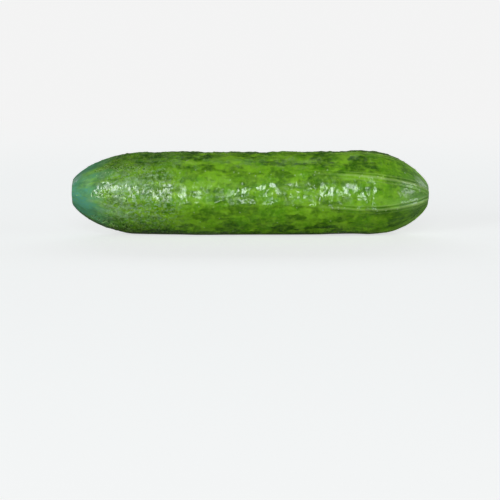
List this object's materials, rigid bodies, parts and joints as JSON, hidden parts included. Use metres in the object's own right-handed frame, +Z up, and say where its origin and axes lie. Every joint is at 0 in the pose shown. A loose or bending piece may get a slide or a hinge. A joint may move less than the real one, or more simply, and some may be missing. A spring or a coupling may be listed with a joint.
{
  "type": "cucumber",
  "caption": "Short smooth-skinned cucumber lying on its belly, a ridged green fruit with a blue-green stem end and a pale ribbed blossom end.",
  "frame": {"origin": "middle of the footprint, on the surface that the fruit rests on", "axes": "+Z up; +X along the fruit from the stem end to the blossom end; the belly of its light bow faces -Y"},
  "size_m": [0.1604, 0.0392, 0.0376],
  "materials": {
    "skin": "satin"
  },
  "bodies": {
    "root": {"cucumber": "skin"}
  },
  "joints": []
}
